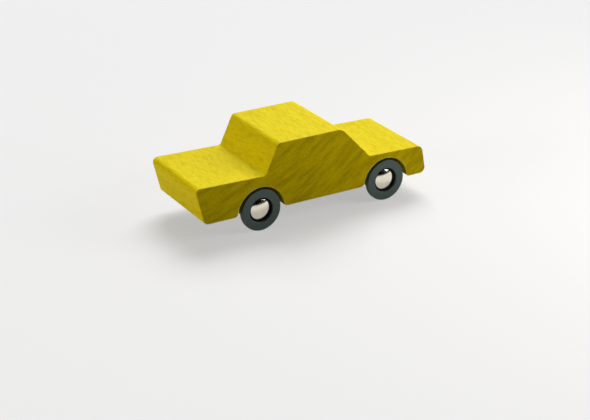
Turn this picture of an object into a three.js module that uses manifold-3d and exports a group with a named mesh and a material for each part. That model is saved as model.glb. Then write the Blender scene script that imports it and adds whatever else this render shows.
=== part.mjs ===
// A toy car: one block of beech on four rubber-tyred wheels, two steel axles and two axle blocks.
// Millimetres. +X is the car's front, +Y its left side and +Z up.
// The origin is on the floor, midway along the car's length and midway across its width.

import * as THREE from 'three';
import { mergeVertices } from 'three/addons/utils/BufferGeometryUtils.js';
import Module from 'manifold-3d';

// Driving dimensions: the body's outline, as lengths from tail to nose
const TAIL_RAKE = 4.3; // the tail's foot lies this far ahead of its top edge
const REAR_DECK_LENGTH = 34.6;
const REAR_SCREEN_RUN = 6.5;
const ROOF_LENGTH = 32.6;
const WINDSCREEN_RUN = 15.0;
const FRONT_DECK_LENGTH = 28.7;
const NOSE_RAKE = 2.6; // the nose's foot stands this far ahead of its top edge

// The body's outline, as heights above its flat underside
const TAIL_HEIGHT = 17.5;
const REAR_SCREEN_FOOT = 16.6;
const ROOF_HEIGHT = 30.5;
const WINDSCREEN_FOOT = 14.5;
const NOSE_HEIGHT = 13.7;

// The body's width and its roundings
const BODY_WIDTH = 42.0;
const TAIL_EDGE_RADIUS = 2.2; // the tail's top edge
const REAR_VALLEY_RADIUS = 1.8; // where the rear screen meets its deck
const ROOF_REAR_RADIUS = 2.2;
const ROOF_FRONT_RADIUS = 5.0;
const FRONT_VALLEY_RADIUS = 3.0; // where the windscreen meets its deck
const NOSE_EDGE_RADIUS = 3.0; // the nose's top edge
const FOOT_RADIUS = 2.7; // the lower edges of tail and nose
const SANDED_EDGE = 0.4; // rounding of the edges along both sides
const ARCH_LIP_RADIUS = 2.0; // where a wheel arch meets the underside

// Wheel places
const REAR_OVERHANG = 32.35; // from the tail's top edge to the rear axle
const WHEELBASE = 65.3;
const AXLE_RISE = 0.7; // the axles' centres lie this far above the underside
const ARCH_GAP = 1.9; // an arch is this much larger in radius than the tyre

// Tyre and hub, with depths measured inwards from the tyre's outer face
const TYRE_RADIUS = 9.65;
const TYRE_WIDTH = 2.2;
const TYRE_BORE_RADIUS = 5.8;
const TYRE_EDGE = 0.3; // rounding of the tread's edges
const TYRE_BORE_EDGE = 0.25; // chamfer of the bore's outer edge
const HUB_RECESS = 0.9; // depth of the hub's rim
const HUB_DEPTH = 6.2; // depth of the hub's inner end
const HUB_BEAD_HEIGHT = 0.4; // bead on the hub's seat that keeps the tyre on
const HUB_BEAD_WIDTH = 0.5;
const HUB_FLANGE_HEIGHT = 1.6; // flange that backs the tyre
const HUB_FLANGE_WIDTH = 2.0;
const HUB_BOSS_WALL = 2.4; // wall of the boss round the axle

// Axle, its blocks and washers
const AXLE_RADIUS = 1.6;
const AXLE_CHAMFER = 0.3;
const BLOCK_WIDTH = 14.0;
const BLOCK_LET_IN = 5.0; // depth that a block is let into the underside
const BLOCK_WALL = 2.4; // wood left under the axle
const BLOCK_ROUND = 2.0; // rounding of a block's lower edges
const THRUST_WASHER_RADIUS = 3.6;
const THRUST_WASHER_THICKNESS = 0.8;

// Pressed cap and the toothed washer crimped into it
const CAP_RADIUS = 5.0;
const CAP_RECESS = 0.1; // depth of the middle of the cap's face
const CAP_HEIGHT = 3.3;
const CAP_SHEET = 0.4; // thickness of its steel sheet
const CAP_DOME_RADIUS = 12.0; // the face is a shallow dome
const CAP_EDGE_RADIUS = 0.5; // rounding between the dome and the wall
const CAP_LIP = 0.5; // how far the crimped lip turns in
const STAR_WASHER_THICKNESS = 0.4;
const STAR_TEETH = 6;
const STAR_TOOTH_LENGTH = 1.2;
const STAR_TOOTH_SHARE = 0.6; // share of the pitch that a tooth takes
const AXLE_END_GAP = 0.3; // between an axle's end and the inside of its cap

// Clearances
const RUNNING_CLEARANCE = 0.12; // radial, between an axle and what turns on it
const SEAT_GAP = 0.15; // between pieces that are pressed, crimped or glued together
const CAP_CLEARANCE = 0.2; // radial, between a cap and the hub's recess
const END_PLAY = 0.3; // along the axle, beside a hub and beside a washer

// Facets
const CORNER_STEPS = 4;
const ARCH_STEPS = 20;
const EDGE_STEPS = 2;
const TYRE_SEGMENTS = 40;
const CAP_SEGMENTS = 32;
const DOME_STEPS = 3;
const HUB_SEGMENTS = 24;
const SHAFT_SEGMENTS = 24;

// Places worked out from the driving dimensions, with lengths from the tail's top edge
const AXLE_X = { rear: REAR_OVERHANG, front: REAR_OVERHANG + WHEELBASE };
const AXLE_Z = TYRE_RADIUS;
const UNDERSIDE_Z = AXLE_Z - AXLE_RISE;
const ARCH_RADIUS = TYRE_RADIUS + ARCH_GAP;
const BEARING_RADIUS = AXLE_RADIUS + RUNNING_CLEARANCE;
const POCKET_DEPTH = HUB_DEPTH + END_PLAY + THRUST_WASHER_THICKNESS + END_PLAY;
const CORE_WIDTH = BODY_WIDTH - 2 * POCKET_DEPTH; // wood left between the arches of the two sides
const CAP_FOOT = CAP_RECESS + CAP_HEIGHT;
const BEAD_MIDDLE = (HUB_RECESS + TYRE_WIDTH) / 2;
const BEAD_START = BEAD_MIDDLE - HUB_BEAD_WIDTH / 2;
const BEAD_END = BEAD_MIDDLE + HUB_BEAD_WIDTH / 2;

// Materials
const yellowBeech = new THREE.MeshStandardMaterial({ color: 0xdcc81a, roughness: 0.65, metalness: 0 });
const greyRubber = new THREE.MeshStandardMaterial({ color: 0x3f4a49, roughness: 0.8, metalness: 0 });
const blackNylon = new THREE.MeshStandardMaterial({ color: 0x151616, roughness: 0.5, metalness: 0 });
const platedSteel = new THREE.MeshStandardMaterial({ color: 0xe4dfce, roughness: 0.15, metalness: 1 });
const brightSteel = new THREE.MeshStandardMaterial({ color: 0xb8b9ba, roughness: 0.3, metalness: 1 });
const greyFibre = new THREE.MeshStandardMaterial({ color: 0x8b8a84, roughness: 0.7, metalness: 0 });

const wasm = await Module();
wasm.setup();

// A closed geometry as a solid that can be joined and cut.
function solidOf(geometry) {
  const bare = geometry.clone();
  bare.deleteAttribute('normal');
  bare.deleteAttribute('uv');
  const merged = mergeVertices(bare, 1e-4);
  return new wasm.Manifold(
    new wasm.Mesh({
      numProp: 3,
      vertProperties: merged.attributes.position.array,
      triVerts: new Uint32Array(merged.index.array),
    }),
  );
}

// A joined or cut solid as a geometry again.
function geometryOf(solid) {
  const mesh = solid.getMesh();
  const geometry = new THREE.BufferGeometry();
  geometry.setAttribute('position', new THREE.BufferAttribute(mesh.vertProperties, 3));
  geometry.setIndex(new THREE.BufferAttribute(mesh.triVerts, 1));
  const flat = geometry.toNonIndexed();
  flat.computeVertexNormals();
  return flat;
}

// Points of an arc in the drawing plane, both ends included.
function arc(x, y, radius, from, to, steps) {
  return Array.from({ length: steps + 1 }, (_, i) => {
    const angle = from + ((to - from) * i) / steps;
    return new THREE.Vector2(x + radius * Math.cos(angle), y + radius * Math.sin(angle));
  });
}

// A polygon's corner, cut back along both its edges and rounded by an arc.
function roundedCorner(before, corner, after, radius) {
  const back = before.clone().sub(corner).normalize();
  const on = after.clone().sub(corner).normalize();
  const half = Math.acos(back.dot(on)) / 2;
  const centre = back.clone().add(on).normalize().multiplyScalar(radius / Math.sin(half)).add(corner);
  const cut = radius / Math.tan(half);
  const start = back.multiplyScalar(cut).add(corner).sub(centre).angle();
  const turn = Math.sign(on.cross(before.clone().sub(corner))) * (Math.PI - 2 * half);
  return arc(centre.x, centre.y, radius, start, start + turn, CORNER_STEPS);
}

// A half-round wheel arch met while drawing the underside towards the nose, with a rounded lip at each end.
// Each lip's arc touches the underside and the arch's circle.
function wheelArch(x) {
  const reach = Math.sqrt(ARCH_RADIUS ** 2 + 2 * ARCH_RADIUS * ARCH_LIP_RADIUS);
  const tilt = Math.atan2(ARCH_LIP_RADIUS, reach);
  const rearLip = arc(x - reach, ARCH_LIP_RADIUS, ARCH_LIP_RADIUS, -Math.PI / 2, -tilt, CORNER_STEPS);
  const crown = arc(x, 0, ARCH_RADIUS, Math.PI - tilt, tilt, ARCH_STEPS);
  const frontLip = arc(x + reach, ARCH_LIP_RADIUS, ARCH_LIP_RADIUS, Math.PI + tilt, 1.5 * Math.PI, CORNER_STEPS);
  return [...rearLip, ...crown.slice(1, -1), ...frontLip];
}

// The body's side outline, drawn from the tail's foot along the underside and back over the roof.
// Lengths here are from the tail's top edge and heights above the underside.
function bodyOutline(underside) {
  let x = 0;
  const stations = [[x, TAIL_HEIGHT, TAIL_EDGE_RADIUS]];
  for (const [run, height, radius] of [
    [REAR_DECK_LENGTH, REAR_SCREEN_FOOT, REAR_VALLEY_RADIUS],
    [REAR_SCREEN_RUN, ROOF_HEIGHT, ROOF_REAR_RADIUS],
    [ROOF_LENGTH, ROOF_HEIGHT, ROOF_FRONT_RADIUS],
    [WINDSCREEN_RUN, WINDSCREEN_FOOT, FRONT_VALLEY_RADIUS],
    [FRONT_DECK_LENGTH, NOSE_HEIGHT, NOSE_EDGE_RADIUS],
    [NOSE_RAKE, 0, FOOT_RADIUS],
  ]) {
    x += run;
    stations.push([x, height, radius]);
  }
  stations.push([TAIL_RAKE, 0, FOOT_RADIUS]);
  stations.reverse();
  const corners = stations.map(([px, py]) => new THREE.Vector2(px, py));
  const rounded = corners.map((corner, i) => {
    const before = corners.at(i - 1);
    const after = corners[(i + 1) % corners.length];
    return roundedCorner(before, corner, after, stations[i][2]);
  });
  const [tailFoot, ...rest] = rounded;
  return new THREE.Shape([...tailFoot, ...underside, ...rest.flat()]);
}

// A drawing in X and Z, extruded to a width along Y and centred on a place.
function acrossCar(shape, width, centreY, edge) {
  const depth = width - 2 * edge;
  const geometry = new THREE.ExtrudeGeometry(shape, {
    depth,
    bevelEnabled: edge > 0,
    bevelThickness: edge,
    bevelSize: edge,
    bevelOffset: -edge,
    bevelSegments: EDGE_STEPS,
  });
  geometry.translate(0, 0, -depth / 2);
  geometry.rotateX(Math.PI / 2);
  return geometry.translate(0, centreY, 0);
}

// The block of beech: a core the full outline wide, with a side slab on each face that holds the wheel arches,
// and a rebate under each axle for its block. Each slab runs into the core, so that they are one piece.
function bodyGeometry() {
  const arches = [...wheelArch(AXLE_X.rear), ...wheelArch(AXLE_X.front)];
  const slabWidth = POCKET_DEPTH + CORE_WIDTH / 4;
  let wood = solidOf(acrossCar(bodyOutline([]), CORE_WIDTH, 0, 0));
  for (const side of [-1, 1]) {
    const slabY = (side * (BODY_WIDTH - slabWidth)) / 2;
    wood = wood.add(solidOf(acrossCar(bodyOutline(arches), slabWidth, slabY, SANDED_EDGE)));
  }
  for (const x of Object.values(AXLE_X)) {
    const rebate = new THREE.BoxGeometry(
      BLOCK_WIDTH + 2 * SEAT_GAP,
      BODY_WIDTH,
      2 * (BLOCK_LET_IN + SEAT_GAP),
    );
    wood = wood.subtract(solidOf(rebate.translate(x, 0, 0)));
  }
  return geometryOf(wood);
}

// A block let into the underside, with the axle's bore through it and its lower edges rounded.
function axleBlockGeometry() {
  const foot = AXLE_RISE - BEARING_RADIUS - BLOCK_WALL;
  const half = BLOCK_WIDTH / 2;
  const shape = new THREE.Shape([
    new THREE.Vector2(half, BLOCK_LET_IN),
    new THREE.Vector2(-half, BLOCK_LET_IN),
    ...arc(-half + BLOCK_ROUND, foot + BLOCK_ROUND, BLOCK_ROUND, Math.PI, 1.5 * Math.PI, CORNER_STEPS),
    ...arc(half - BLOCK_ROUND, foot + BLOCK_ROUND, BLOCK_ROUND, -Math.PI / 2, 0, CORNER_STEPS),
  ]);
  const bore = arc(0, AXLE_RISE, BEARING_RADIUS, 0, -2 * Math.PI, SHAFT_SEGMENTS).slice(0, -1);
  shape.holes.push(new THREE.Path(bore));
  return acrossCar(shape, CORE_WIDTH, 0, 0);
}

// A turned piece: its section is drawn as radius and depth, and revolved about the axle.
// Depth runs inwards from the tyre's outer face, so +Y points out of the car.
function turned(section, segments) {
  const points = section.map(([radius, depth]) => new THREE.Vector2(radius, -depth));
  const closed = points[0].x === 0 ? points : [...points, points[0]];
  return new THREE.LatheGeometry(closed, segments);
}

// A quarter-round edge of a turned section, as radius and depth.
function turnedEdge(radius, depth, size, from) {
  return arc(radius, -depth, size, from, from + Math.PI / 2, EDGE_STEPS).map(({ x, y }) => [x, -y]);
}

// Flat rubber ring with a rounded tread, and a groove inside that takes the hub's bead.
function tyreGeometry() {
  const tread = TYRE_RADIUS - TYRE_EDGE;
  const groove = TYRE_BORE_RADIUS + HUB_BEAD_HEIGHT;
  const section = [
    ...turnedEdge(tread, TYRE_WIDTH - TYRE_EDGE, TYRE_EDGE, -Math.PI / 2),
    ...turnedEdge(tread, TYRE_EDGE, TYRE_EDGE, 0),
    [TYRE_BORE_RADIUS + TYRE_BORE_EDGE, 0],
    [TYRE_BORE_RADIUS, TYRE_BORE_EDGE],
    [TYRE_BORE_RADIUS, BEAD_START - SEAT_GAP],
    [groove, BEAD_START - SEAT_GAP],
    [groove, BEAD_END + SEAT_GAP],
    [TYRE_BORE_RADIUS, BEAD_END + SEAT_GAP],
    [TYRE_BORE_RADIUS, TYRE_WIDTH],
  ];
  return turned(section, TYRE_SEGMENTS);
}

// Moulded hub: a seat and flange for the tyre, a bored boss behind them and a recess in front for the cap.
function hubGeometry() {
  const seat = TYRE_BORE_RADIUS - SEAT_GAP;
  const flange = TYRE_BORE_RADIUS + HUB_FLANGE_HEIGHT;
  const flangeStart = TYRE_WIDTH + SEAT_GAP;
  const flangeEnd = flangeStart + HUB_FLANGE_WIDTH;
  const boss = BEARING_RADIUS + HUB_BOSS_WALL;
  const recess = CAP_RADIUS + CAP_CLEARANCE;
  const recessFloor = CAP_FOOT + END_PLAY;
  const section = [
    [BEARING_RADIUS, HUB_DEPTH],
    [boss, HUB_DEPTH],
    [boss, flangeEnd],
    [flange, flangeEnd],
    [flange, flangeStart],
    [seat, flangeStart],
    [seat, BEAD_END],
    [seat + HUB_BEAD_HEIGHT, BEAD_END],
    [seat + HUB_BEAD_HEIGHT, BEAD_START],
    [seat, BEAD_START],
    [seat, HUB_RECESS],
    [recess, HUB_RECESS],
    [recess, recessFloor],
    [BEARING_RADIUS, recessFloor],
  ];
  return turned(section, HUB_SEGMENTS);
}

// One skin of a cap, from its middle over the dome and the edge to the top of its wall, as radius and depth.
// The edge's arc lies inside the dome's and touches it, and the wall goes on straight from the edge.
function capSkin(inset) {
  const edgeX = CAP_RADIUS - CAP_EDGE_RADIUS;
  const reach = CAP_DOME_RADIUS - CAP_EDGE_RADIUS;
  const tilt = Math.asin(edgeX / reach);
  const domeY = CAP_RECESS + CAP_DOME_RADIUS;
  const edgeY = domeY - reach * Math.cos(tilt);
  const up = Math.PI / 2;
  const dome = arc(0, -domeY, CAP_DOME_RADIUS - inset, up, up - tilt, DOME_STEPS);
  const edge = arc(edgeX, -edgeY, CAP_EDGE_RADIUS - inset, up - tilt, 0, EDGE_STEPS);
  dome[0].x = 0;
  return [...dome, ...edge.slice(1)].map(({ x, y }) => [x, -y]);
}

// Pressed steel cap: a shallow dome with a rounded edge, whose foot is crimped in under the toothed washer.
function capGeometry() {
  const inner = CAP_RADIUS - CAP_SHEET;
  const section = [
    ...capSkin(CAP_SHEET),
    [inner, CAP_FOOT - CAP_SHEET],
    [inner - CAP_LIP, CAP_FOOT - CAP_SHEET],
    [inner - CAP_LIP, CAP_FOOT],
    [CAP_RADIUS, CAP_FOOT],
    ...capSkin(0).reverse(),
  ];
  return turned(section, CAP_SEGMENTS);
}

// Spring-steel washer: a disc with a hole cut so that its teeth point in at the axle and grip it.
function starWasherGeometry() {
  const outer = CAP_RADIUS - CAP_SHEET - SEAT_GAP;
  const tips = AXLE_RADIUS + SEAT_GAP;
  const pitch = (2 * Math.PI) / STAR_TEETH;
  const disc = new THREE.Shape(arc(0, 0, outer, 0, 2 * Math.PI, HUB_SEGMENTS).slice(0, -1));
  const teeth = Array.from({ length: STAR_TEETH }, (_, tooth) => {
    const start = tooth * pitch;
    const root = start + STAR_TOOTH_SHARE * pitch;
    return [
      ...arc(0, 0, tips, start, root, EDGE_STEPS),
      ...arc(0, 0, tips + STAR_TOOTH_LENGTH, root, start + pitch, EDGE_STEPS),
    ];
  });
  const hole = new THREE.Shape(teeth.flat());
  const foot = CAP_FOOT - CAP_SHEET - SEAT_GAP;
  const middle = -(foot - STAR_WASHER_THICKNESS / 2);
  const steel = solidOf(acrossCar(disc, STAR_WASHER_THICKNESS, middle, 0));
  const cutter = solidOf(acrossCar(hole, 2 * STAR_WASHER_THICKNESS, middle, 0));
  return geometryOf(steel.subtract(cutter));
}

// Fibre washer that keeps a hub off the wood.
function thrustWasherGeometry() {
  const start = HUB_DEPTH + END_PLAY;
  const end = start + THRUST_WASHER_THICKNESS;
  const section = [
    [BEARING_RADIUS, end],
    [THRUST_WASHER_RADIUS, end],
    [THRUST_WASHER_RADIUS, start],
    [BEARING_RADIUS, start],
  ];
  return turned(section, SHAFT_SEGMENTS);
}

// Steel rod with chamfered ends, reaching into the caps of both its wheels.
function axleGeometry() {
  const half = BODY_WIDTH / 2 - CAP_RECESS - CAP_SHEET - AXLE_END_GAP;
  const section = [
    [0, half],
    [AXLE_RADIUS - AXLE_CHAMFER, half],
    [AXLE_RADIUS, half - AXLE_CHAMFER],
    [AXLE_RADIUS, -half + AXLE_CHAMFER],
    [AXLE_RADIUS - AXLE_CHAMFER, -half],
    [0, -half],
  ];
  return turned(section, SHAFT_SEGMENTS);
}

function namedMesh(name, geometry, material) {
  const mesh = new THREE.Mesh(geometry, material);
  mesh.name = name;
  return mesh;
}

// One wheel and what holds it on, drawn with its outer face at Y = 0 and facing +Y.
function wheelStation(name) {
  const station = new THREE.Group();
  station.add(
    namedMesh(`${name}_tyre`, tyreGeometry(), greyRubber),
    namedMesh(`${name}_hub`, hubGeometry(), blackNylon),
    namedMesh(`${name}_cap`, capGeometry(), platedSteel),
    namedMesh(`${name}_star_washer`, starWasherGeometry(), brightSteel),
    namedMesh(`${name}_thrust_washer`, thrustWasherGeometry(), greyFibre),
  );
  return station;
}

// The car is drawn from its tail, then moved back by half the length of its rounded outline.
const outlineBox = new THREE.Box2().setFromPoints(bodyOutline([]).getPoints());
const car = new THREE.Group();
car.position.x = -outlineBox.getCenter(new THREE.Vector2()).x;

const body = namedMesh('body', bodyGeometry(), yellowBeech);
body.position.z = UNDERSIDE_Z;
car.add(body);

for (const [end, x] of Object.entries(AXLE_X)) {
  const block = namedMesh(`${end}_axle_block`, axleBlockGeometry(), yellowBeech);
  block.position.set(x, 0, UNDERSIDE_Z);
  const axle = namedMesh(`${end}_axle`, axleGeometry(), brightSteel);
  axle.position.set(x, 0, AXLE_Z);
  car.add(block, axle);

  for (const side of ['left', 'right']) {
    const station = wheelStation(`${end}_${side}`);
    const outward = side === 'left' ? 1 : -1;
    station.position.set(x, (outward * BODY_WIDTH) / 2, AXLE_Z);
    station.rotation.z = side === 'left' ? 0 : Math.PI;
    car.add(station);
  }
}

const part = new THREE.Group();
part.add(car);

export default part;
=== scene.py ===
# %% [markdown]
# # A toy car in stained beech
# The real car is one block of beech, planed to a saloon outline, cut to width and stained yellow.
# It rolls on four thin rubber tyres with plain steel caps.
# Each step below makes one kind of piece as a surface worked out with numpy, gives it a finish,
# and lets it ride on the body of the engineering model that it belongs to.
# Pieces are drawn in millimetres and become metres when their mesh is made.
# The floor, the lights and the camera are placed in metres.

# %% Load the engineering model
import math

import bmesh
import bpy
import numpy as np
from mathutils import Matrix, Vector


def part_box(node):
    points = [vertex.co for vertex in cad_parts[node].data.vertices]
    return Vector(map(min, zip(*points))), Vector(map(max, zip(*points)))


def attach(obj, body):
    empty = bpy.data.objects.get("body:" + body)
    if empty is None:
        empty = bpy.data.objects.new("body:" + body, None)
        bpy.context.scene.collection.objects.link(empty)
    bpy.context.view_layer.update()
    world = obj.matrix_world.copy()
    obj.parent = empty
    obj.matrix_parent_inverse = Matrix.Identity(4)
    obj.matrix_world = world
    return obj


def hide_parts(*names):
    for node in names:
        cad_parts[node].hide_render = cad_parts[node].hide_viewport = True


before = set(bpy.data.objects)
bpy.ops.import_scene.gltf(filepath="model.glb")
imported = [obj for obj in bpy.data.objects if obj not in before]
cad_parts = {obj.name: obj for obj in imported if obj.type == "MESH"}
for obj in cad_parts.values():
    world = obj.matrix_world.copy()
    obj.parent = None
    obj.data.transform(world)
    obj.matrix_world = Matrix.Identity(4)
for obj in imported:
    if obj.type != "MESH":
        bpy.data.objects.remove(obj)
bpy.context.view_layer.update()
MM = 0.001

# %% [markdown]
# ## The outline of the block
# A planed block has the same outline all the way across, so the outline is drawn once, in length and height.
# A curve object with a depth could do that too, but points in an array can be moved again for the arches
# and the sanded edge.
# A straight stretch only has points near its ends. Every corner is an arc that touches both of its sides.
# A short step is kept beside each arc, so that smooth shading stays inside the arc and flat faces look flat.

# %% Round the corners of an outline
ARC_STEPS = 14
HOLD = 0.12


def arc(centre, radius, start, end, steps):
    """Points of an arc: the centre plus the radius turned evenly from the start angle to the end angle."""
    angle = np.linspace(start, end, steps + 1)
    return np.asarray(centre) + radius * np.stack([np.cos(angle), np.sin(angle)], axis=1)


def rounded_corner(before, corner, after, radius, steps, hold):
    """A corner's arc: its centre lies on the line that halves the corner,
    and its ends lie where it touches both sides."""
    back = (before - corner) / np.linalg.norm(before - corner)
    ahead = (after - corner) / np.linalg.norm(after - corner)
    half = math.acos(back @ ahead) / 2
    middle = (back + ahead) / np.linalg.norm(back + ahead)
    centre = corner + middle * radius / math.sin(half)
    touch = corner + back * radius / math.tan(half) - centre
    turn = math.copysign(math.pi - 2 * half, ahead[0] * back[1] - ahead[1] * back[0])
    start = math.atan2(touch[1], touch[0])
    curve = arc(centre, radius, start, start + turn, steps)
    return np.vstack([curve[0] + back * hold, curve, curve[-1] + ahead * hold])


def rounded_corners(corners, steps=ARC_STEPS, hold=HOLD):
    """One arc for each corner of a closed outline whose corners are given as (first, second, radius)."""
    points = np.array(corners, float)[:, :2]
    around = zip(np.roll(points, 1, axis=0), points, np.roll(points, -1, axis=0), corners)
    return [rounded_corner(p, q, r, c[2], steps, hold) for p, q, r, c in around]


trial = rounded_corners([(0, 0, 1), (4, 0, 1), (4, 4, 1)])
print("a trial triangle with round corners has", len(np.vstack(trial)), "points")

# %% [markdown]
# ## The side of the car
# Seen from the side, the car has a bonnet, a cabin and a tail deck, with an arch over each wheel.
# The places of the axles could be written here as numbers. They are read from the engineering model
# instead, and the outline is hung on them, so that both agree.
# A wheel arch is a half circle that is centred on the underside. A small arc at each of its ends
# takes away the sharp edge that a saw would leave there.

# %% Draw the side outline
UNDERSIDE = 8.95
HALF_WIDTH = 21.0
REAR_OVERHANG = 32.35


def middle_of(name):
    """Length and height of the middle of a node of the engineering model, in millimetres."""
    low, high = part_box(name)
    return (low.x + high.x) / 2 / MM, (low.z + high.z) / 2 / MM


REAR_AXLE, AXLE_HEIGHT = middle_of("rear_left_tyre")
FRONT_AXLE, _ = middle_of("front_left_tyre")
TAIL = REAR_AXLE - REAR_OVERHANG
# Each corner: length from the tail's top edge, height above the underside, radius of its arc.
CORNERS = {
    "tail_foot": (4.3, 0.0, 2.7),
    "nose_foot": (120.0, 0.0, 2.7),
    "nose_top": (117.4, 13.7, 3.0),
    "windscreen_foot": (88.7, 14.5, 3.0),
    "roof_front": (73.7, 30.5, 5.0),
    "roof_rear": (41.1, 30.5, 2.2),
    "rear_screen_foot": (34.6, 16.6, 1.8),
    "tail_top": (0.0, 17.5, 2.2),
}
ARCH_RADIUS, ARCH_LIP = 11.55, 2.0
ARCH_REACH = math.sqrt(ARCH_RADIUS**2 + 2 * ARCH_RADIUS * ARCH_LIP)
ARCH_TILT = math.atan2(ARCH_LIP, ARCH_REACH)
LIP_STEPS, CROWN_STEPS = 8, 72


def wheel_arch(axle):
    """A half circle centred on the underside, with a small arc at each end
    that touches both the half circle and the underside."""
    rear = arc((axle - ARCH_REACH, ARCH_LIP), ARCH_LIP, -math.pi / 2, -ARCH_TILT, LIP_STEPS)
    crown = arc((axle, 0.0), ARCH_RADIUS, math.pi - ARCH_TILT, ARCH_TILT, CROWN_STEPS)
    front = arc((axle + ARCH_REACH, ARCH_LIP), ARCH_LIP, math.pi + ARCH_TILT, 1.5 * math.pi, LIP_STEPS)
    start = (axle - ARCH_REACH - HOLD, 0.0)
    end = (axle + ARCH_REACH + HOLD, 0.0)
    return np.vstack([start, rear, crown[1:-1], front, end])


def block_outline():
    """The whole outline, from the tail's foot along the underside and back over the roof, in millimetres.
    Also says which of its points belong to the wheel arches."""
    tail_foot, *others = rounded_corners([(TAIL + x, z, r) for x, z, r in CORNERS.values()])
    parts = [tail_foot, wheel_arch(REAR_AXLE), wheel_arch(FRONT_AXLE), *others]
    is_arch = [False, True, True] + [False] * len(others)
    return np.vstack(parts), np.repeat(is_arch, [len(part) for part in parts])


outline, in_arch = block_outline()
print("outline points:", len(outline), "length", np.ptp(outline[:, 0]).round(2), "mm")

# %% [markdown]
# ## From arrays to meshes
# The real pieces are solid. Here each new piece is a closed skin, which starts as a grid of points.
# From row to row the grid closes on itself, as the outline does, and its columns follow one another.
# Modelling operators could build the skins too, but in a grid the number of every point is known.
# Where two columns share a point, the grid has it twice. Merging those by distance gives one closed skin.
# Shading is smooth everywhere except at edges that turn by more than a set angle.

# %% Make meshes and close their seams
SHARP_ANGLE = 40
# Points closer than this, in metres, become one.
SAME_POINT = 1e-7


def mesh_piece(name, vertices, faces):
    """A piece from vertices in millimetres. Edges that turn by more than the sharp angle stay sharp."""
    mesh = bpy.data.meshes.new(name)
    mesh.from_pydata((vertices * MM).tolist(), [], faces)
    mesh.validate()
    mesh.polygons.foreach_set("use_smooth", np.ones(len(mesh.polygons), bool))
    mesh.set_sharp_from_angle(angle=math.radians(SHARP_ANGLE))
    piece = bpy.data.objects.new(name, mesh)
    bpy.context.scene.collection.objects.link(piece)
    return piece


def grid_faces(rows, columns, keep=None):
    """Faces of a grid that closes on itself along its rows, as corner numbers.
    keep says which of them to make."""
    row, column = np.meshgrid(np.arange(rows), np.arange(columns - 1), indexing="ij")
    after = (row + 1) % rows
    corners = np.stack([row, after, after, row], -1) * columns
    corners += np.stack([column, column, column + 1, column + 1], -1)
    return corners[keep] if keep is not None else corners.reshape(-1, 4)


def close_seams(piece, distance=SAME_POINT):
    """Merges points that lie on one another and counts the edges that are still open."""
    shape = bmesh.new()
    shape.from_mesh(piece.data)
    bmesh.ops.remove_doubles(shape, verts=shape.verts, dist=distance)
    bmesh.ops.dissolve_degenerate(shape, edges=shape.edges, dist=distance)
    bmesh.ops.recalc_face_normals(shape, faces=shape.faces)
    still_open = sum(1 for e in shape.edges if not e.is_manifold)
    shape.to_mesh(piece.data)
    shape.free()
    piece.data.set_sharp_from_angle(angle=math.radians(SHARP_ANGLE))
    return still_open


print("faces in a grid of 4 rows and 3 columns:", len(grid_faces(4, 3)))

# %% [markdown]
# ## The wheel pockets
# Inside a wheel arch the wood stops at a flat floor. A boolean cut could make the pocket,
# but it leaves thin triangles. Here the arch's points move down to the underside instead,
# and the strip they sweep is the floor.
# Under each axle the underside has a square rebate, so the points in the middle stop at the rebate's walls.

# %% Move an arch's points to the underside
REBATE_HALF, REBATE_TOP = 7.15, 5.15
TINY = 1e-6


def below_arch(points, axle):
    """Arch points moved to the underside: those of the end arcs along it, and the others towards the axle
    until they meet the walls or the roof of the rebate. The points nearest its corners move onto them."""
    x, z = np.abs(points[:, 0] - axle), points[:, 1]
    lip_start = ARCH_RADIUS * math.cos(ARCH_TILT) - TINY
    slope = z / np.maximum(x, TINY)
    on_wall = slope < REBATE_TOP / REBATE_HALF
    across = np.where(on_wall, REBATE_HALF, REBATE_TOP / np.maximum(slope, TINY))
    up = np.minimum(slope * REBATE_HALF, REBATE_TOP)
    share = (x - lip_start) / (x.max() - lip_start)
    across = np.where(share >= 0, REBATE_HALF + share * (x.max() - REBATE_HALF), across)
    up = np.where(share >= 0, 0.0, up)
    across *= np.sign(points[:, 0] - axle)
    for side in (-1, 1):
        corner = np.argmin(np.hypot(across - side * REBATE_HALF, up - REBATE_TOP))
        across[corner], up[corner] = side * REBATE_HALF, REBATE_TOP
    return np.stack([axle + across, up], axis=1)


moved = below_arch(wheel_arch(REAR_AXLE), REAR_AXLE)
print("length and height of an arch moved to the underside:", np.ptp(moved, axis=0).round(2), "mm")

# %% [markdown]
# ## The sanded edge
# The edges of the two sides are lightly sanded. A Bevel modifier could round them as well.
# Here the outline shrinks inwards along a quarter circle towards each side,
# so the points of the edge are known and can be marked for the finish's painted highlight.

# %% Shrink the outline towards the sides
SANDED_EDGE, EDGE_STEPS = 0.4, 6
ARCH_FLOOR = 13.4


def outward(points):
    """The direction out of a closed outline at each point:
    the mean of its two edges, turned by a right angle."""
    edge = np.roll(points, -1, axis=0) - points
    edge /= np.linalg.norm(edge, axis=1, keepdims=True)
    mean = edge + np.roll(edge, 1, axis=0)
    mean /= np.linalg.norm(mean, axis=1, keepdims=True)
    return np.stack([mean[:, 1], -mean[:, 0]], axis=1)


def side_stations(half_width, edge, floor):
    """Places across one side, from its face inwards:
    (distance from the middle, how far the outline shrinks)."""
    turn = np.linspace(0, math.pi / 2, EDGE_STEPS + 1)
    across = half_width - edge + edge * np.cos(turn)
    shrink = edge - edge * np.sin(turn)
    return [(half_width, edge + HOLD), *zip(across, shrink), (half_width - edge - HOLD, 0.0), (floor, 0.0)]


stations = side_stations(HALF_WIDTH, SANDED_EDGE, ARCH_FLOOR)
print("places across one side:", len(stations))

# %% [markdown]
# ## The block
# The real body is one piece of wood. Boxes cut and joined by booleans could give its shape.
# Here the outline is carried across the car in one grid, place by place, which leaves no seam to hide.
# One more face on each side closes the block.
# The edges along the arches and the underside are marked, because the finish paints a highlight on them, for
# the light that they catch from the floor below.

# %% Carry the outline across the car
LOW_EDGE = 1.0


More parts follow.
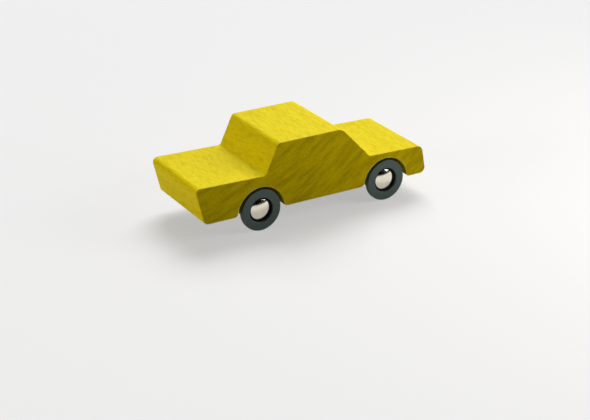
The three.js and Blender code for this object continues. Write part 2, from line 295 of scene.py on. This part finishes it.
def block(name):
    """A grid of outline points by places across the car, without faces where two places share their points,
    plus the two side faces. Also says how much of the painted edge highlight each point gets, which is given
    only to the rounded edges along the arches and the underside."""
    normal = outward(outline)
    flat = outline.copy()
    rear = in_arch & (outline[:, 0] < 0)
    front = in_arch & (outline[:, 0] > 0)
    flat[rear] = below_arch(outline[rear], REAR_AXLE)
    flat[front] = below_arch(outline[front], FRONT_AXLE)
    columns = [(-y, outline - s * normal) for y, s in stations] + [(-ARCH_FLOOR, flat)]
    columns += [(-y, shape) for y, shape in reversed(columns)]
    grid = np.stack([np.insert(shape, 1, y, axis=1) for y, shape in columns], axis=1)
    grid[..., 2] += UNDERSIDE
    # Nose and tail stay inside the box of the engineering model's body.
    low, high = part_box("body")
    grid[..., 0] = np.clip(grid[..., 0], low.x / MM, high.x / MM)
    rows, count = grid.shape[:2]
    shared = ~(in_arch | np.roll(in_arch, -1))
    keep = np.ones((rows, count - 1), bool)
    for floor in (len(stations) - 1, count - 1 - len(stations)):
        keep[shared, floor] = False
    faces = grid_faces(rows, count, keep).tolist()
    ends = np.arange(rows) * count
    faces += [ends[::-1].tolist(), (ends + count - 1).tolist()]
    piece = mesh_piece(name, grid.reshape(-1, 3), faces)
    edge = np.array([float(0 < s < SANDED_EDGE + HOLD) for _, s in stations] + [0.0])
    # Points along the arches and the underside get a painted highlight, for the light their edges catch from
    # the floor below.
    lit_from_below = in_arch | (outline[:, 1] < LOW_EDGE)
    return piece, np.outer(lit_from_below, np.concatenate([edge, edge[::-1]])).ravel()


car_block, edge_light_amount = block("beech_block")
layer = car_block.data.attributes.new("painted_edge_light", "FLOAT", "POINT")
layer.data.foreach_set("value", edge_light_amount.astype(np.float32))
print("open edges in the block:", close_seams(car_block), "vertices:", len(car_block.data.vertices))
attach(car_block, "car")
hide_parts("body")

# %% [markdown]
# ## Turned pieces
# Tyres, hubs, caps, washers and axles are all round: a section is drawn as radius and depth,
# and carried round the axle. The Screw modifier could turn it too.
# Worked out as an array, each piece also keeps its points' places from its own centre,
# so that one finish can serve all four wheels.
# Depth is counted inwards from the tyre's outer face, and for the axles from the middle of the car.

# %% Turn a section about an axle
AXLES = {"rear": REAR_AXLE, "front": FRONT_AXLE}
SIDES = {"left": 1, "right": -1}
SECTION_STEPS, SECTION_HOLD = 6, 0.04
ROUND_STEPS = 128
SAME_POINT_ROUND = 1e-6


def section_of(corners):
    """A section with every corner rounded, as one closed loop of (radius, depth).
    Each corner is given as radius, depth and the radius of its own arc."""
    return np.vstack(rounded_corners(corners, SECTION_STEPS, SECTION_HOLD))


def turned(name, section, axle, face, facing, segments=ROUND_STEPS, closed=True):
    """A ring of section points: across the axle by the radius times sine and cosine of the turn,
    and along the axle by the depth."""
    turn = np.linspace(0, 2 * math.pi, segments, endpoint=False)[:, None]
    radius, depth = section[:, 0], section[:, 1]
    across, up = radius * np.sin(turn), radius * np.cos(turn)
    along = np.broadcast_to(-facing * depth, across.shape)
    local = np.stack([across, along, up], axis=-1)
    if closed:
        local = np.concatenate([local, local[:, :1]], axis=1)
    place = local + (axle, facing * face, AXLE_HEIGHT)
    piece = mesh_piece(name, place.reshape(-1, 3), grid_faces(*local.shape[:2]).tolist())
    layer = piece.data.attributes.new("own_place", "FLOAT_VECTOR", "POINT")
    layer.data.foreach_set("vector", (local * MM).astype(np.float32).ravel())
    still_open = close_seams(piece, SAME_POINT_ROUND)
    if still_open:
        print("open edges in", name, still_open)
    return piece


def dress(piece, body, node):
    """Lets a piece ride on its body and hides the node of the engineering model that it stands for."""
    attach(piece, body)
    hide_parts(node)
    return piece


wheels = [(end, side) for end in AXLES for side in SIDES]
print("wheel places:", wheels)

# %% [markdown]
# ## Tyres
# A tyre is a thin flat ring of rubber. A torus would be quicker to make, but its section is round, not flat.
# Here the tread's edges are rounded, the bore has a small chamfer, and a groove in it takes the hub's bead.
# The groove can't be seen, but it is what keeps the tyre on its hub.

# %% Make the tyres
TYRE_RADIUS, TYRE_BORE, TYRE_WIDTH = 9.65, 5.8, 2.2
TREAD_ROUND, TYRE_BACK_ROUND = 0.3, 0.05
CHAMFER_ACROSS, CHAMFER_DEPTH = 0.2, 0.25
CHAMFER_FRONT_ROUND, CHAMFER_BACK_ROUND = 0.12, 0.1
GROOVE_RADIUS, GROOVE_START, GROOVE_END, GROOVE_ROUND = 6.2, 1.15, 1.95, 0.04
TYRE_STEPS = 160
TYRE_SECTION = section_of([
    (TYRE_RADIUS, TYRE_WIDTH, TREAD_ROUND),
    (TYRE_RADIUS, 0.0, TREAD_ROUND),
    (TYRE_BORE + CHAMFER_ACROSS, 0.0, CHAMFER_FRONT_ROUND),
    (TYRE_BORE, CHAMFER_DEPTH, CHAMFER_BACK_ROUND),
    (TYRE_BORE, GROOVE_START, GROOVE_ROUND),
    (GROOVE_RADIUS, GROOVE_START, GROOVE_ROUND),
    (GROOVE_RADIUS, GROOVE_END, GROOVE_ROUND),
    (TYRE_BORE, GROOVE_END, GROOVE_ROUND),
    (TYRE_BORE, TYRE_WIDTH, TYRE_BACK_ROUND),
])
tyres = [
    dress(
        turned(f"{end}_{side}_rubber_tyre", TYRE_SECTION, AXLES[end], HALF_WIDTH, SIDES[side], TYRE_STEPS),
        f"{end}_{side}_wheel", f"{end}_{side}_tyre",
    )
    for end, side in wheels
]
print("tyres:", len(tyres), "with", len(tyres[0].data.polygons), "faces each")

# %% [markdown]
# ## Hubs
# The hub fills the tyre's bore and runs on the axle. In front it has a recess for the cap,
# and behind the tyre a flange and a narrower boss.
# From the side only the recess shows, as a black ring round the cap. Its near-black is partly the nylon's
# own colour and partly painted shade for the deep recess.
# A black disc would do for that, but with its whole section drawn the wheel is also right from behind.

# %% Make the hubs
AXLE_BORE, BORE_ROUND = 1.72, 0.1
BOSS_RADIUS, BOSS_END, BOSS_ROUND = 4.12, 6.2, 0.3
FLANGE_RADIUS, FLANGE_START, FLANGE_END, FLANGE_ROUND = 7.4, 2.35, 4.35, 0.2
SEAT_RADIUS, SEAT_ROUND = 5.65, 0.05
HUB_FACE, RIM_ROUND = 0.9, 0.12
BEAD_RADIUS, BEAD_START, BEAD_END, BEAD_ROUND = 6.05, 1.3, 1.8, 0.1
RECESS_RADIUS, RECESS_FLOOR, RECESS_ROUND = 5.2, 3.7, 0.2
HUB_SECTION = section_of([
    (AXLE_BORE, BOSS_END, BORE_ROUND),
    (BOSS_RADIUS, BOSS_END, BOSS_ROUND),
    (BOSS_RADIUS, FLANGE_END, BOSS_ROUND),
    (FLANGE_RADIUS, FLANGE_END, BOSS_ROUND),
    (FLANGE_RADIUS, FLANGE_START, FLANGE_ROUND),
    (SEAT_RADIUS, FLANGE_START, SEAT_ROUND),
    (SEAT_RADIUS, BEAD_END, SEAT_ROUND),
    (BEAD_RADIUS, BEAD_END, BEAD_ROUND),
    (BEAD_RADIUS, BEAD_START, BEAD_ROUND),
    (SEAT_RADIUS, BEAD_START, SEAT_ROUND),
    (SEAT_RADIUS, HUB_FACE, RIM_ROUND),
    (RECESS_RADIUS, HUB_FACE, RIM_ROUND),
    (RECESS_RADIUS, RECESS_FLOOR, RECESS_ROUND),
    (AXLE_BORE, RECESS_FLOOR, BORE_ROUND),
])
hubs = [
    dress(
        turned(f"{end}_{side}_moulded_hub", HUB_SECTION, AXLES[end], HALF_WIDTH, SIDES[side]),
        f"{end}_{side}_wheel", f"{end}_{side}_hub",
    )
    for end, side in wheels
]
print("hubs:", len(hubs), "with", len(hubs[0].data.polygons), "faces each")

# %% [markdown]
# ## Caps
# A cap is pressed from sheet: a shallow dome, a rounded edge, a short wall and a lip that is crimped
# inwards. A flat disc with a rounded edge would be simpler, but a dome mirrors both the floor
# and the dark above it, which gives the black crescent.
# The section starts and ends on the axle, so its two ends close into points.

# %% Make the caps
CAP_RADIUS, CAP_MIDDLE, CAP_BACK = 5.0, 0.1, 3.4
DOME_RADIUS, CAP_EDGE, CAP_SHEET = 12.0, 0.5, 0.4
LIP_WIDTH, LIP_BEVEL, CRIMP_BEVEL = 0.5, 0.05, 0.15
DOME_STEPS, CAP_EDGE_STEPS = 24, 8


def cap_skin(inset):
    """A dome's arc from the middle out, then a small arc that lies inside it, touches it
    and ends on the wall."""
    tilt = math.asin((CAP_RADIUS - CAP_EDGE) / (DOME_RADIUS - CAP_EDGE))
    depth = CAP_MIDDLE + DOME_RADIUS
    edge_centre = (CAP_RADIUS - CAP_EDGE, depth - (DOME_RADIUS - CAP_EDGE) * math.cos(tilt))
    dome = arc((0.0, depth), DOME_RADIUS - inset, -math.pi / 2, tilt - math.pi / 2, DOME_STEPS)
    edge = arc(edge_centre, CAP_EDGE - inset, tilt - math.pi / 2, 0.0, CAP_EDGE_STEPS)
    return np.vstack([dome, edge[1:]])


def cap_section():
    """From the middle of the inner skin out to the lip, round it,
    and back over the outer skin to the middle."""
    wall = CAP_RADIUS - CAP_SHEET
    lip_end = wall - LIP_WIDTH
    lip_front = CAP_BACK - CAP_SHEET
    lip = np.array([
        (wall, lip_front - LIP_BEVEL),
        (wall - LIP_BEVEL, lip_front),
        (lip_end + LIP_BEVEL, lip_front),
        (lip_end, lip_front + LIP_BEVEL),
        (lip_end, CAP_BACK - LIP_BEVEL),
        (lip_end + LIP_BEVEL, CAP_BACK),
        (CAP_RADIUS - CRIMP_BEVEL, CAP_BACK),
        (CAP_RADIUS, CAP_BACK - CRIMP_BEVEL),
    ])
    return np.vstack([cap_skin(CAP_SHEET), lip, cap_skin(0.0)[::-1]])


CAP_SECTION = cap_section()
caps = [
    dress(
        turned(f"{end}_{side}_pressed_cap", CAP_SECTION, AXLES[end], HALF_WIDTH, SIDES[side], closed=False),
        f"{end}_axle_set", f"{end}_{side}_cap",
    )
    for end, side in wheels
]
print("caps:", len(caps), "with", len(caps[0].data.polygons), "faces each")

# %% [markdown]
# ## Axles and washers
# An axle is a straight rod with chamfered ends, and a fibre washer keeps each hub off the wood.
# Only a little of them shows, from below. A bevelled cylinder would do for the rod.
# Turned like the other pieces, it also keeps the places that its finish reads.
# One end of the axle is drawn as steps in from its full radius and length, and the other end mirrors it.

# %% Make the axles and washers
AXLE_RADIUS, AXLE_HALF = 1.6, 20.2
AXLE_END = np.array([(AXLE_RADIUS, 0.0), (0.35, 0.0), (0.3, 0.01), (0.01, 0.29), (0.0, 0.35), (0.0, 0.45)])
WASHER_RADIUS, WASHER_FRONT, WASHER_BACK = 3.6, 6.5, 7.3
WASHER_ROUND, WASHER_BORE_ROUND = 0.15, 0.08
THIN_STEPS = 64
one_end = (AXLE_RADIUS, -AXLE_HALF) + AXLE_END * (-1, 1)
AXLE_SECTION = np.vstack([one_end, one_end[::-1] * (1, -1)])
WASHER_SECTION = section_of([
    (AXLE_BORE, WASHER_BACK, WASHER_BORE_ROUND),
    (WASHER_RADIUS, WASHER_BACK, WASHER_ROUND),
    (WASHER_RADIUS, WASHER_FRONT, WASHER_ROUND),
    (AXLE_BORE, WASHER_FRONT, WASHER_BORE_ROUND),
])
axles = [
    dress(
        turned(f"{end}_steel_rod", AXLE_SECTION, AXLES[end], 0.0, 1, THIN_STEPS, closed=False),
        f"{end}_axle_set", f"{end}_axle",
    )
    for end in AXLES
]
washers = [
    dress(
        turned(
            f"{end}_{side}_fibre_washer", WASHER_SECTION, AXLES[end], HALF_WIDTH, SIDES[side], THIN_STEPS,
        ),
        "car", f"{end}_{side}_thrust_washer",
    )
    for end, side in wheels
]
print("axles:", len(axles), "washers:", len(washers))

# %% [markdown]
# ## Axle blocks
# A block of the same wood is let into the underside under each axle. Its outline is carried across the car
# like the body's. The bore could be a boolean cut. Here it is a second loop inside the outline,
# with a point on the same ray for each of the outline's, so every face is a clean four-sided one.
# The outline gets points all along its straight edges, which keeps the bore round.
# Both ends are strips between the two loops.

# %% Make the axle blocks
BLOCK_HALF, BLOCK_TOP, BLOCK_WALL = 7.0, 5.0, 2.4
BLOCK_TOP_ROUND, BLOCK_FOOT_ROUND = 0.2, 2.0
BLOCK_STEPS, LOOP_STEP = 12, 0.5


def even_loop(points, step):
    """A closed loop with more points along it: its own, and others a step apart by length along the loop."""
    closed = np.vstack([points, points[:1]])
    length = np.concatenate([[0.0], np.cumsum(np.linalg.norm(np.diff(closed, axis=0), axis=1))])
    place = np.union1d(length[:-1], np.arange(0.0, length[-1], step))
    return np.stack([np.interp(place, length, closed[:, i]) for i in (0, 1)], axis=1)


def axle_block(name, axle):
    """Two loops with the same number of points, the outline and the bore,
    at both ends and joined all round."""
    rise = AXLE_HEIGHT - UNDERSIDE
    foot = rise - AXLE_BORE - BLOCK_WALL
    corners = [
        (BLOCK_HALF, BLOCK_TOP, BLOCK_TOP_ROUND),
        (-BLOCK_HALF, BLOCK_TOP, BLOCK_TOP_ROUND),
        (-BLOCK_HALF, foot, BLOCK_FOOT_ROUND),
        (BLOCK_HALF, foot, BLOCK_FOOT_ROUND),
    ]
    loop = even_loop(np.vstack(rounded_corners(corners, BLOCK_STEPS)), LOOP_STEP)
    angle = np.arctan2(loop[:, 1] - rise, loop[:, 0])
    bore = np.stack([AXLE_BORE * np.cos(angle), rise + AXLE_BORE * np.sin(angle)], axis=1)
    ends = [(bore, -1), (loop, -1), (loop, 1), (bore, 1), (bore, -1)]
    grid = np.stack([np.insert(shape, 1, side * ARCH_FLOOR, axis=1) for shape, side in ends], axis=1)
    grid += (axle, 0.0, UNDERSIDE)
    piece = mesh_piece(name, grid.reshape(-1, 3), grid_faces(*grid.shape[:2]).tolist())
    print(name, "open edges:", close_seams(piece))
    return piece


axle_blocks = [
    dress(axle_block(f"{end}_let_in_block", AXLES[end]), "car", f"{end}_axle_block")
    for end in AXLES
]

# %% [markdown]
# ## Helpers for finishes
# A finish is a tree of shader nodes. It could be joined by hand in the shader editor.
# Here a few short helpers make a node, join or set its inputs, and mix colours,
# so that each finish below reads as a list of what it is made of.

# %% Make and join shader nodes
def material(name):
    """A new material with its node tree and its shader."""
    made = bpy.data.materials.new(name)
    made.use_nodes = True
    return made, made.node_tree, made.node_tree.nodes["Principled BSDF"]


def put(tree, made, key, value):
    """Joins a socket to a node's input, or writes a value there."""
    socket = made.inputs[int(key)] if key.isdigit() else made.inputs[key]
    if isinstance(value, bpy.types.NodeSocket):
        tree.links.new(value, socket)
    else:
        socket.default_value = value


def node(tree, kind, settings=None, **inputs):
    """A node of a kind. Settings are its own properties. Inputs are values, or sockets to join."""
    made = tree.nodes.new("ShaderNode" + kind)
    for key, value in (settings or {}).items():
        setattr(made, key, value)
    for key, value in inputs.items():
        put(tree, made, key.replace("_", " "), value)
    return made


def ramp(tree, amount, *stops):
    """A colour ramp between two stops of (place, colour). A colour of one number is a grey."""
    made = node(tree, "ValToRGB", Fac=amount)
    for element, (place, colour) in zip(made.color_ramp.elements, stops):
        element.position = place
        element.color = (*colour, 1) if len(colour) == 3 else (colour[0], colour[0], colour[0], 1)
    return made.outputs["Color"]


def mix(tree, amount, first, second, kind="MIX"):
    """Two colours mixed, or the second laid over the first in another way."""
    made = node(tree, "Mix", {"data_type": "RGBA", "blend_type": kind})
    for key, value in (("0", amount), ("6", first), ("7", second)):
        put(tree, made, key, value)
    return made.outputs[2]


# %% [markdown]
# ## Stained beech
# The fibres run across the car. The tops show them lengthwise as short dark flecks, and the sides show their
# ends, with the year rings as slanting bands. A picture of wood would slide or stretch from face to face.
# Noise in the block's own space serves every face instead, as the grain of a real block does.
# For the rings, the noise's place runs on with the distance from a pith above and behind the car,
# so it changes fast from ring to ring and slowly along them. For the fibres it is stretched across the car.
# End grain drinks more stain and is deeper in colour.
# The edges along the arches and the underside get a painted highlight, a paler yellow for the light that
# they catch from below.

# %% Finish the wood
PITH_SHIFT = (0.082, 0.0, -0.153)
RING_STRIDE, RING_SPREAD = (240, 0, -240), (80, 16, 80)
FIBRE_SCALE, CLOUD_SCALE = (1300, 200, 1300), (60, 20, 60)
CLEAR = (1, 1, 1)
# Stops of the ramps: a value of the noise, or of how far a face is end grain, and what it gives.
STAIN_STOPS = (0.3, (0.77, 0.63, 0.004)), (0.7, (0.81, 0.675, 0.006))
FLECK_STOPS = (0.3, (0.79, 0.735, 0.52)), (0.54, CLEAR)
BAND_STOPS = (0.34, (0.74, 0.72, 0.55)), (0.6, CLEAR)
RING_SHARE_STOPS = (0.2, (0.22,)), (0.9, (1.0,))
WOOD_ROUGH_STOPS = (0.3, (0.66,)), (0.6, (0.5,))
END_GRAIN_TINT = (1.0, 0.94, 0.2, 1)
# Paler yellow, painted on the edges along the arches and the underside as a highlight of light from below.
EDGE_HIGHLIGHT_WOOD = (0.92, 0.82, 0.06, 1)
WOOD_GLOSS = 0.025


def stained_beech():
    """Clouds of yellow stain, times flecks along the fibres,
    times ring bands, which count most on end grain."""
    made, tree, shader = material("stained_beech")
    coords = node(tree, "TexCoord")
    place = coords.outputs["Object"]
    facing = node(tree, "SeparateXYZ", Vector=coords.outputs["Normal"]).outputs["Y"]
    end_grain = node(tree, "Math", {"operation": "ABSOLUTE"}, **{"0": facing}).outputs[0]
    beside = node(tree, "Mapping", Vector=place, Location=PITH_SHIFT, Scale=(1, 0, 1)).outputs[0]
    from_pith = node(tree, "VectorMath", {"operation": "LENGTH"}, **{"0": beside}).outputs["Value"]
    spread = node(tree, "Mapping", Vector=place, Scale=RING_SPREAD).outputs[0]
    shifted = node(tree, "VectorMath", {"operation": "MULTIPLY_ADD"},
                   **{"0": from_pith, "1": RING_STRIDE, "2": spread}).outputs[0]
    rings = node(tree, "TexNoise", Vector=shifted, Scale=1.0, Detail=3.0, Roughness=0.6).outputs["Fac"]
    along = node(tree, "Mapping", Vector=place, Scale=FIBRE_SCALE).outputs[0]
    fibres = node(tree, "TexNoise", Vector=along, Scale=1.0, Detail=4.0, Roughness=0.65).outputs["Fac"]
    broad = node(tree, "Mapping", Vector=place, Scale=CLOUD_SCALE).outputs[0]
    clouds = node(tree, "TexNoise", Vector=broad, Scale=1.0, Detail=3.0).outputs["Fac"]
    stain = ramp(tree, clouds, *STAIN_STOPS)
    flecks = ramp(tree, fibres, *FLECK_STOPS)
    banded = ramp(tree, rings, *BAND_STOPS)
    colour = mix(tree, 1.0, stain, flecks, "MULTIPLY")
    ring_share = ramp(tree, end_grain, *RING_SHARE_STOPS)
    colour = mix(tree, ring_share, colour, banded, "MULTIPLY")
    deep = mix(tree, 1.0, colour, END_GRAIN_TINT, "MULTIPLY")
    colour = mix(tree, end_grain, colour, deep)
    # Painted highlight: the edges along the arches and the underside are mixed towards a paler yellow, for
    # light they catch from below.
    painted_edge_light = node(tree, "Attribute", {"attribute_name": "painted_edge_light"}).outputs["Fac"]
    colour = mix(tree, painted_edge_light, colour, EDGE_HIGHLIGHT_WOOD)
    put(tree, shader, "Base Color", colour)
    put(tree, shader, "Roughness", ramp(tree, fibres, *WOOD_ROUGH_STOPS))
    shader.inputs["Specular IOR Level"].default_value = WOOD_GLOSS
    bump = node(tree, "Bump", Strength=0.25, Distance=0.0001, Height=fibres)
    put(tree, shader, "Normal", bump.outputs[0])
    return made


wood = stained_beech()
for piece in [car_block, *axle_blocks]:
    piece.data.materials.append(wood)
print("wood on", 1 + len(axle_blocks), "pieces")

# %% [markdown]
# ## Rubber and nylon
# Both are dull and dark, and the nylon's near-black is partly painted shade for the recess round each cap.
# One plain colour would look like paint, so a little noise varies colour and gloss, and a fine grain is laid
# on as bump.
# These finishes read the place that each turned piece keeps from its own centre.

# %% Finish the tyres and hubs
# Most of a noise lies between these two values.
NOISE_LOW, NOISE_HIGH = 0.3, 0.7
RUBBER_STOPS = (NOISE_LOW, (0.085, 0.125, 0.12)), (NOISE_HIGH, (0.105, 0.15, 0.145))
RUBBER_ROUGH_STOPS = (NOISE_LOW, (0.5,)), (NOISE_HIGH, (0.64,))
# The nylon's near-black is partly its own colour and partly painted shade for the recess round each cap.
NYLON_AND_SHADE_STOPS = (NOISE_LOW, (0.004, 0.0045, 0.0045)), (NOISE_HIGH, (0.008, 0.008, 0.008))
NYLON_ROUGH_STOPS = (NOISE_LOW, (0.5,)), (NOISE_HIGH, (0.65,))
RUBBER_GLOSS, NYLON_GLOSS = 0.4, 0.15


def local_place(tree):
    """The place of a point from its own piece's centre."""
    return node(tree, "Attribute", {"attribute_name": "own_place"}).outputs["Vector"]


def grey_rubber():
    """Grey rubber with a little dust in its colour and gloss, and a fine grain."""
    made, tree, shader = material("grey_rubber")
    place = local_place(tree)
    dust = node(tree, "TexNoise", Vector=place, Scale=900.0, Detail=4.0).outputs["Fac"]
    fine = node(tree, "TexNoise", Vector=place, Scale=6000.0, Detail=2.0).outputs["Fac"]
    put(tree, shader, "Base Color", ramp(tree, dust, *RUBBER_STOPS))
    put(tree, shader, "Roughness", ramp(tree, dust, *RUBBER_ROUGH_STOPS))
    shader.inputs["Specular IOR Level"].default_value = RUBBER_GLOSS
    put(tree, shader, "Normal", node(tree, "Bump", Strength=0.2, Distance=0.00003, Height=fine).outputs[0])
    return made


def black_nylon():
    """Nearly black nylon with the fine grain of its mould. Its near-black is partly painted shade for the
    recess.
    """
    made, tree, shader = material("black_nylon")
    fine = node(tree, "TexNoise", Vector=local_place(tree), Scale=4000.0, Detail=2.0).outputs["Fac"]
    put(tree, shader, "Base Color", ramp(tree, fine, *NYLON_AND_SHADE_STOPS))
    put(tree, shader, "Roughness", ramp(tree, fine, *NYLON_ROUGH_STOPS))
    shader.inputs["Specular IOR Level"].default_value = NYLON_GLOSS
    put(tree, shader, "Normal", node(tree, "Bump", Strength=0.1, Distance=0.00002, Height=fine).outputs[0])
    return made


finishes = [(tyres, grey_rubber()), (hubs, black_nylon())]
for pieces, finish in finishes:
    for piece in pieces:
        piece.data.materials.append(finish)
print("finishes:", [finish.name for _, finish in finishes])

# %% [markdown]
# ## Steel and fibre
# The caps are plated and polished, so the rings of their polishing hardly show. On the axles they show more.
# Two finishes could be written. One function makes both, with the strength of the rings as an input.
# The fibre of the washers is dull and has no rings.
# The star washers inside the caps stay as the engineering model has them and only take the axles' finish.

# %% Finish the caps, axles and washers
CAP_DARK, CAP_LIGHT, CAP_ROUGH, CAP_RINGS = (0.75, 0.7, 0.59), (0.82, 0.775, 0.66), 0.14, 0.008
ROD_DARK, ROD_LIGHT, ROD_ROUGH, ROD_RINGS = (0.5, 0.5, 0.51), (0.6, 0.6, 0.61), 0.3, 0.06
ROUGH_SPREAD = 0.04
FUZZ_STOPS = (NOISE_LOW, (0.2, 0.195, 0.18)), (NOISE_HIGH, (0.3, 0.29, 0.27))
FUZZ_ROUGH = 0.85


def turned_steel(name, dark, light, rough, brushed):
    """Steel with a haze in its colour and gloss, and rings round the axle as strong as brushed says."""
    made, tree, shader = material(name)
    place = local_place(tree)
    rings = node(tree, "TexWave", {"wave_type": "RINGS", "rings_direction": "Y"}, Vector=place, Scale=1600.0,
                 Distortion=6.0, Detail=3.0).outputs["Fac"]
    haze = node(tree, "TexNoise", Vector=place, Scale=700.0, Detail=4.0).outputs["Fac"]
    smoother, rougher = (rough - ROUGH_SPREAD,), (rough + ROUGH_SPREAD,)
    put(tree, shader, "Base Color", ramp(tree, haze, (NOISE_LOW, dark), (NOISE_HIGH, light)))
    put(tree, shader, "Roughness", ramp(tree, haze, (NOISE_LOW, smoother), (NOISE_HIGH, rougher)))
    shader.inputs["Metallic"].default_value = 1.0
    bump = node(tree, "Bump", Strength=brushed, Distance=0.00002, Height=rings)
    put(tree, shader, "Normal", bump.outputs[0])
    return made


def grey_fibre():
    """Pressed grey fibre with a dull, fuzzy face."""
    made, tree, shader = material("grey_fibre")
    fuzz = node(tree, "TexNoise", Vector=local_place(tree), Scale=3000.0, Detail=4.0).outputs["Fac"]
    put(tree, shader, "Base Color", ramp(tree, fuzz, *FUZZ_STOPS))
    shader.inputs["Roughness"].default_value = FUZZ_ROUGH
    put(tree, shader, "Normal", node(tree, "Bump", Strength=0.3, Distance=0.00004, Height=fuzz).outputs[0])
    return made


cap_steel = turned_steel("cap_steel", CAP_DARK, CAP_LIGHT, CAP_ROUGH, CAP_RINGS)
axle_steel = turned_steel("axle_steel", ROD_DARK, ROD_LIGHT, ROD_ROUGH, ROD_RINGS)
finishes = [(caps, cap_steel), (axles, axle_steel), (washers, grey_fibre())]
for pieces, finish in finishes:
    for piece in pieces:
        piece.data.materials.append(finish)
star_washers = [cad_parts[f"{end}_{side}_star_washer"] for end, side in wheels]
for washer in star_washers:
    washer.data.materials.clear()
    washer.data.materials.append(axle_steel)
print("finishes:", [finish.name for _, finish in finishes], "and", len(star_washers), "star washers")

# %% [markdown]
# ## Floor
# A pale floor fills the picture and keeps the car's shadow.
# A plain pale floor would throw too much light up onto the car's side.
# So the camera and reflections see this one as pale, and partly as an even white,
# but the light that it throws back up is that of a darker floor.

# %% Lay the floor
FLOOR_HALF = 5.0
FLOOR_CORNERS = [(-1, -1), (1, -1), (1, 1), (-1, 1)]
BOUNCE, SEEN = (0.345, 0.345, 0.345, 1), (0.8, 0.8, 0.805, 1)
WHITE = (0.887, 0.887, 0.892, 1)
EVEN_WHITE = 0.5
floor_mesh = bpy.data.meshes.new("floor")
floor_mesh.from_pydata([(x * FLOOR_HALF, y * FLOOR_HALF, 0) for x, y in FLOOR_CORNERS], [], [(0, 1, 2, 3)])
floor = bpy.data.objects.new("floor", floor_mesh)
bpy.context.scene.collection.objects.link(floor)
pale, tree, shader = material("pale_floor")
rays = node(tree, "LightPath").outputs
either = {"0": rays["Is Camera Ray"], "1": rays["Is Glossy Ray"]}
seen = node(tree, "Math", {"operation": "MAXIMUM"}, **either).outputs[0]
put(tree, shader, "Base Color", mix(tree, seen, BOUNCE, SEEN))
shader.inputs["Roughness"].default_value = 1.0
shader.inputs["Specular IOR Level"].default_value = 0.0
white = node(tree, "Emission", Color=WHITE, Strength=1.0).outputs[0]
share = node(tree, "Math", {"operation": "MULTIPLY"}, **{"0": seen, "1": EVEN_WHITE}).outputs[0]
both = node(tree, "MixShader", **{"0": share, "1": shader.outputs[0], "2": white}).outputs[0]
put(tree, tree.nodes["Material Output"], "Surface", both)
floor.data.materials.append(pale)
print("floor", 2 * FLOOR_HALF, "m square")

# %% [markdown]
# ## Light
# A picture of a sky could light the car, but a few lights can each be placed and weighed on their own.
# The strongest light hangs high beyond the car, towards its nose, so the decks and roof are bright.
# A weak one stands in front of the nose, a low one at the tail's end lights the tail and the rear screen,
# and a small one near the front corner keeps some light on the near side.
# The room around them is dark, so polished metal mirrors the floor as bright and what is above it as black.

# %% Hang the lights
LIT_POINT = Vector((0, 0, 0.02))
PLAIN, WARM, SOFT_WARM = (1, 1, 1), (1.0, 0.91, 0.8), (1.0, 0.95, 0.85)


def area_light(name, place, width, power, colour=PLAIN):
    """A square light at a place, turned to face the car."""
    light = bpy.data.lights.new(name, "AREA")
    light.size = width
    light.energy = power
    light.color = colour
    holder = bpy.data.objects.new(name, light)
    holder.location = place
    holder.rotation_euler = (LIT_POINT - Vector(place)).to_track_quat("-Z", "Y").to_euler()
    bpy.context.scene.collection.objects.link(holder)
    return holder


lights = [
    area_light("high_light", (2.2, 2.8, 4.0), width=3.6, power=374.0),
    area_light("nose_light", (3.6, 0.3, 1.5), width=2.4, power=12.0),
    area_light("tail_light", (-1.2, 0.1, 0.2), width=0.4, power=6.5, colour=WARM),
    area_light("near_light", (0.28, -0.19, 0.17), width=0.2, power=0.55, colour=SOFT_WARM),
]
world = bpy.data.worlds.new("dark_room")
world.use_nodes = True
world.node_tree.nodes["Background"].inputs["Strength"].default_value = 0.0
bpy.context.scene.world = world
bpy.context.scene.view_settings.view_transform = "Standard"
print("lights:", [light.name for light in lights])

# %% [markdown]
# ## Camera
# The camera could be set by eye. Its place was worked out from the straight edges of the block instead:
# about 0.7 m away, some 31 degrees round towards the tail and 24 degrees up.
# A slight roll and shift put the car where it belongs.

# %% Place the camera
AROUND, RAISED = math.radians(-30.868), math.radians(24.171)
ROLL = math.radians(0.146)
DISTANCE = 0.701106
AIM = Vector((-0.0000343, 0.0, 0.00024))
SENSOR_WIDTH, LENS = 36.0, 93.29
SHIFT_X, SHIFT_Y = 0.006276, -0.01710
level = math.cos(RAISED)
back = Vector((math.sin(AROUND) * level, -math.cos(AROUND) * level, math.sin(RAISED)))
right = Vector((math.cos(AROUND), math.sin(AROUND), 0.0))
up = back.cross(right)
rolled_right = right * math.cos(ROLL) + up * math.sin(ROLL)
rolled_up = up * math.cos(ROLL) - right * math.sin(ROLL)
camera = bpy.data.objects.new("camera", bpy.data.cameras.new("camera"))
camera.data.sensor_width = SENSOR_WIDTH
camera.data.lens = LENS
camera.data.shift_x = SHIFT_X
camera.data.shift_y = SHIFT_Y
turn = Matrix((rolled_right, rolled_up, back)).transposed().to_4x4()
camera.matrix_world = Matrix.Translation(AIM + back * DISTANCE) @ turn
bpy.context.scene.collection.objects.link(camera)
bpy.context.scene.camera = camera
print("camera at", [round(v, 4) for v in camera.matrix_world.translation])
